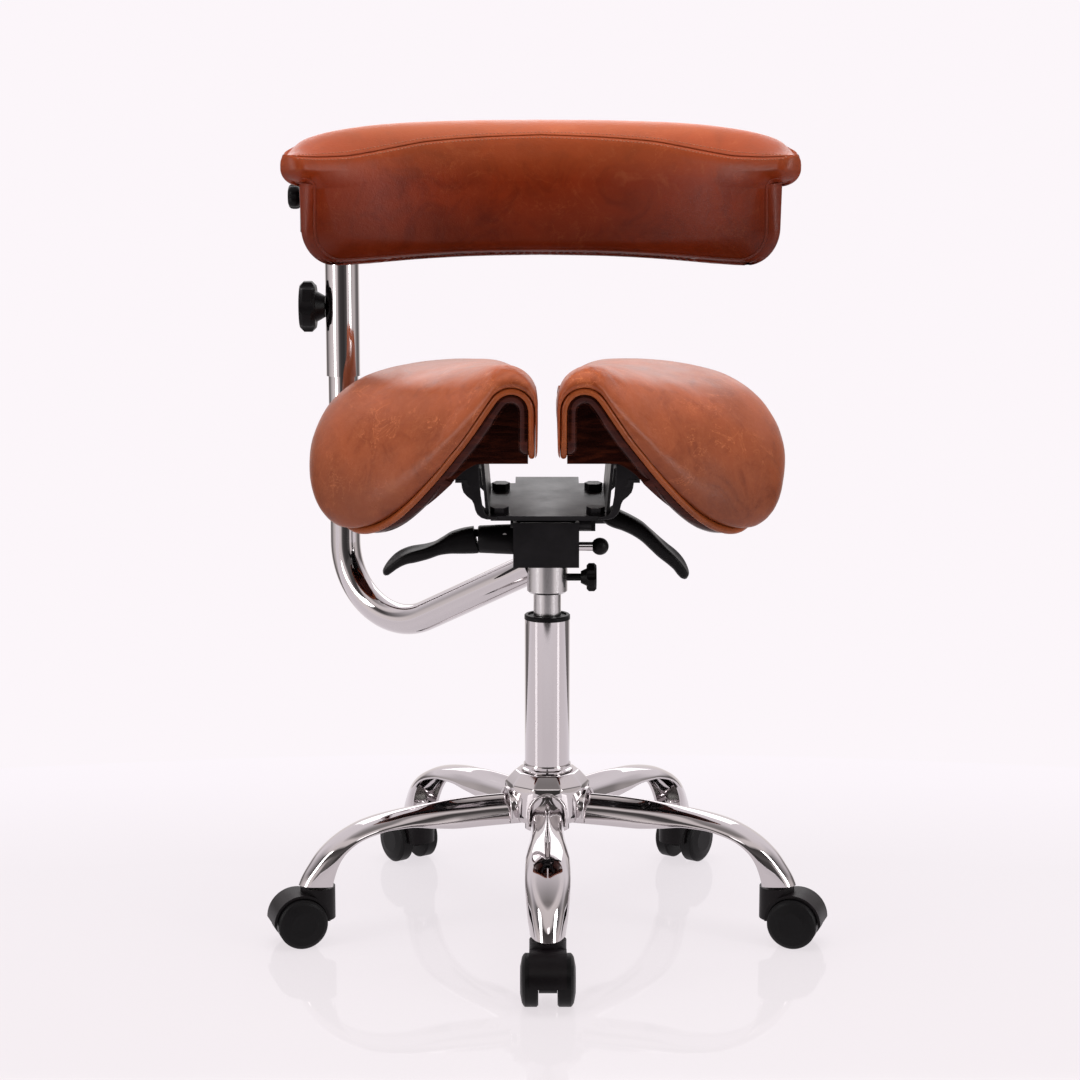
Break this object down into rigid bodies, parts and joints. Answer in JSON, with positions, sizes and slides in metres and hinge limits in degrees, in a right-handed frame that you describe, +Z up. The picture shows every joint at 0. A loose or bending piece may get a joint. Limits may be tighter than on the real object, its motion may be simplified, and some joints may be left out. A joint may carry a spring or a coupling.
{
  "type": "ergonomic stool",
  "caption": "Split leather saddle stool on a gas column with a five-arm castor base, a swing arm and a curved back pad.",
  "frame": {"origin": "on the floor, where the axis of the column meets it", "axes": "+Z up along the column, front of the seat towards -Y, the upright of the arm on the -X side"},
  "size_m": [0.5654, 0.5378, 0.8183],
  "materials": {
    "leather": "semi-gloss pull-up leather",
    "leather_band": "semi-gloss leather edge",
    "shell": "high gloss, dark mahogany figure",
    "chrome": "polished",
    "cylinder_steel": "satin",
    "black_steel": "satin powder coat",
    "black_plastic": "satin",
    "castor_plastic": "matte",
    "nylon": "matte",
    "zinc": "zinc plated"
  },
  "bodies": {
    "base": {"star_base": "chrome", "stand_tube": "chrome", "hub_trim_ring": "chrome", "guide_bush": "black_plastic", "stem_sockets": "nylon", "castor_stems": "zinc", "thrust_bearing": "zinc"},
    "rod": {"piston_rod": "zinc", "rod_clip": "zinc"},
    "column": {"gas_cylinder": "cylinder_steel", "mechanism_housing": "black_steel", "tilt_axle": "black_steel", "left_lever_barrel": "black_plastic", "lever_pivot_pins": "zinc", "tilt_spring": "zinc"},
    "valve": {"release_pin": "black_plastic"},
    "height_handle": {"height_lever": "black_plastic", "height_lever_shaft": "black_steel"},
    "tilt_handle": {"tilt_lever": "black_plastic", "tilt_lever_shaft": "black_steel"},
    "plunger": {"plunger_shaft": "chrome", "plunger_ball": "black_plastic"},
    "seat": {"tilt_bracket": "black_steel", "seat_cradle": "black_steel", "cradle_bolts": "black_steel", "shell_screws": "zinc", "left_seat_shell": "shell", "right_seat_shell": "shell", "left_seat_band": "leather_band", "right_seat_band": "leather_band", "left_seat_cushion": "leather", "right_seat_cushion": "leather"},
    "arm": {"arm_collar": "cylinder_steel", "arm_tube": "chrome", "collar_bush": "nylon"},
    "collar_clamp": {"collar_knob": "black_plastic"},
    "sleeve": {"upper_sleeve": "chrome", "sleeve_bushes": "nylon"},
    "height_clamp": {"height_knob": "black_plastic"},
    "pad": {"pad_bracket": "black_steel", "pad_back_panel": "leather", "pad_cushion": "leather", "pad_screws": "zinc"},
    "pad_clamp": {"pad_knob": "black_plastic"},
    "castor_1": {"castor_housing_1": "castor_plastic"},
    "wheel_1_a": {"castor_wheel_1_a": "castor_plastic"},
    "wheel_1_b": {"castor_wheel_1_b": "castor_plastic"},
    "castor_2": {"castor_housing_2": "castor_plastic"},
    "wheel_2_a": {"castor_wheel_2_a": "castor_plastic"},
    "wheel_2_b": {"castor_wheel_2_b": "castor_plastic"},
    "castor_3": {"castor_housing_3": "castor_plastic"},
    "wheel_3_a": {"castor_wheel_3_a": "castor_plastic"},
    "wheel_3_b": {"castor_wheel_3_b": "castor_plastic"},
    "castor_4": {"castor_housing_4": "castor_plastic"},
    "wheel_4_a": {"castor_wheel_4_a": "castor_plastic"},
    "wheel_4_b": {"castor_wheel_4_b": "castor_plastic"},
    "castor_5": {"castor_housing_5": "castor_plastic"},
    "wheel_5_a": {"castor_wheel_5_a": "castor_plastic"},
    "wheel_5_b": {"castor_wheel_5_b": "castor_plastic"}
  },
  "joints": [
    {"name": "column_swivel", "type": "hinge", "parent": "base", "child": "rod", "pos_m": [0, 0, 0.111], "axis": [0, 0, 1], "continuous": true},
    {"name": "seat_lift", "type": "slide", "parent": "rod", "child": "column", "axis": [0, 0, 1], "range_m": [-0.016, 0.112]},
    {"name": "valve_press", "type": "slide", "parent": "column", "child": "valve", "axis": [0, 0, 1], "range_m": [-0.004, 0], "stiffness_N_per_m": 900},
    {"name": "height_lever_lift", "type": "hinge", "parent": "column", "child": "height_handle", "pos_m": [-0.043, 0, 0.405], "axis": [0, 1, 0], "range_deg": [0, 4.5], "stiffness_Nm_per_rad": 6},
    {"name": "tilt_lever_lift", "type": "hinge", "parent": "column", "child": "tilt_handle", "pos_m": [0.041, 0.04, 0.412], "axis": [0, -1, 0], "range_deg": [0, 8], "stiffness_Nm_per_rad": 6},
    {"name": "plunger_pull", "type": "slide", "parent": "column", "child": "plunger", "axis": [1, 0, 0], "range_m": [0, 0.007], "stiffness_N_per_m": 700},
    {"name": "seat_tilt", "type": "hinge", "parent": "column", "child": "seat", "pos_m": [0, -0.025, 0.419], "axis": [1, 0, 0], "range_deg": [-8, 4.5], "deforming": ["tilt_spring"]},
    {"name": "arm_swivel", "type": "hinge", "parent": "column", "child": "arm", "pos_m": [0, 0, 0.36], "axis": [0, 0, 1], "continuous": true},
    {"name": "collar_knob_turn", "type": "hinge", "parent": "arm", "child": "collar_clamp", "pos_m": [0.034, 0, 0.3595], "axis": [1, 0, 0], "range_deg": [0, 180]},
    {"name": "pad_height", "type": "slide", "parent": "arm", "child": "sleeve", "axis": [0, 0, 1], "range_m": [-0.034, 0.06]},
    {"name": "height_knob_turn", "type": "hinge", "parent": "sleeve", "child": "height_clamp", "pos_m": [-0.235, 0.158, 0.6225], "axis": [-1, 0, 0], "range_deg": [0, 180]},
    {"name": "pad_yaw", "type": "hinge", "parent": "sleeve", "child": "pad", "pos_m": [-0.217, 0.158, 0.738], "axis": [0, 0, 1], "range_deg": [-20, 20]},
    {"name": "pad_knob_turn", "type": "hinge", "parent": "pad", "child": "pad_clamp", "pos_m": [-0.24, 0.158, 0.738], "axis": [-1, 0, 0], "range_deg": [0, 180]},
    {"name": "castor_swivel_1", "type": "hinge", "parent": "base", "child": "castor_1", "pos_m": [0, -0.243, 0.05], "axis": [0, 0, 1], "continuous": true},
    {"name": "wheel_spin_1_a", "type": "hinge", "parent": "castor_1", "child": "wheel_1_a", "pos_m": [0, -0.263, 0.025], "axis": [1, 0, 0], "continuous": true},
    {"name": "wheel_spin_1_b", "type": "hinge", "parent": "castor_1", "child": "wheel_1_b", "pos_m": [0, -0.263, 0.025], "axis": [1, 0, 0], "continuous": true},
    {"name": "castor_swivel_2", "type": "hinge", "parent": "base", "child": "castor_2", "pos_m": [0.23111, -0.07509, 0.05], "axis": [0, 0, 1], "continuous": true},
    {"name": "wheel_spin_2_a", "type": "hinge", "parent": "castor_2", "child": "wheel_2_a", "pos_m": [0.25013, -0.08127, 0.025], "axis": [0.309, 0.9511, 0], "continuous": true},
    {"name": "wheel_spin_2_b", "type": "hinge", "parent": "castor_2", "child": "wheel_2_b", "pos_m": [0.25013, -0.08127, 0.025], "axis": [0.309, 0.9511, 0], "continuous": true},
    {"name": "castor_swivel_3", "type": "hinge", "parent": "base", "child": "castor_3", "pos_m": [0.14283, 0.19659, 0.05], "axis": [0, 0, 1], "continuous": true},
    {"name": "wheel_spin_3_a", "type": "hinge", "parent": "castor_3", "child": "wheel_3_a", "pos_m": [0.15459, 0.21277, 0.025], "axis": [-0.809, 0.5878, 0], "continuous": true},
    {"name": "wheel_spin_3_b", "type": "hinge", "parent": "castor_3", "child": "wheel_3_b", "pos_m": [0.15459, 0.21277, 0.025], "axis": [-0.809, 0.5878, 0], "continuous": true},
    {"name": "castor_swivel_4", "type": "hinge", "parent": "base", "child": "castor_4", "pos_m": [-0.14283, 0.19659, 0.05], "axis": [0, 0, 1], "continuous": true},
    {"name": "wheel_spin_4_a", "type": "hinge", "parent": "castor_4", "child": "wheel_4_a", "pos_m": [-0.15459, 0.21277, 0.025], "axis": [-0.809, -0.5878, 0], "continuous": true},
    {"name": "wheel_spin_4_b", "type": "hinge", "parent": "castor_4", "child": "wheel_4_b", "pos_m": [-0.15459, 0.21277, 0.025], "axis": [-0.809, -0.5878, 0], "continuous": true},
    {"name": "castor_swivel_5", "type": "hinge", "parent": "base", "child": "castor_5", "pos_m": [-0.23111, -0.07509, 0.05], "axis": [0, 0, 1], "continuous": true},
    {"name": "wheel_spin_5_a", "type": "hinge", "parent": "castor_5", "child": "wheel_5_a", "pos_m": [-0.25013, -0.08127, 0.025], "axis": [0.309, -0.9511, 0], "continuous": true},
    {"name": "wheel_spin_5_b", "type": "hinge", "parent": "castor_5", "child": "wheel_5_b", "pos_m": [-0.25013, -0.08127, 0.025], "axis": [0.309, -0.9511, 0], "continuous": true}
  ],
  "couplings": [
    {"joint": "valve_press", "follows": "height_lever_lift", "m_per_rad": -0.046}
  ]
}
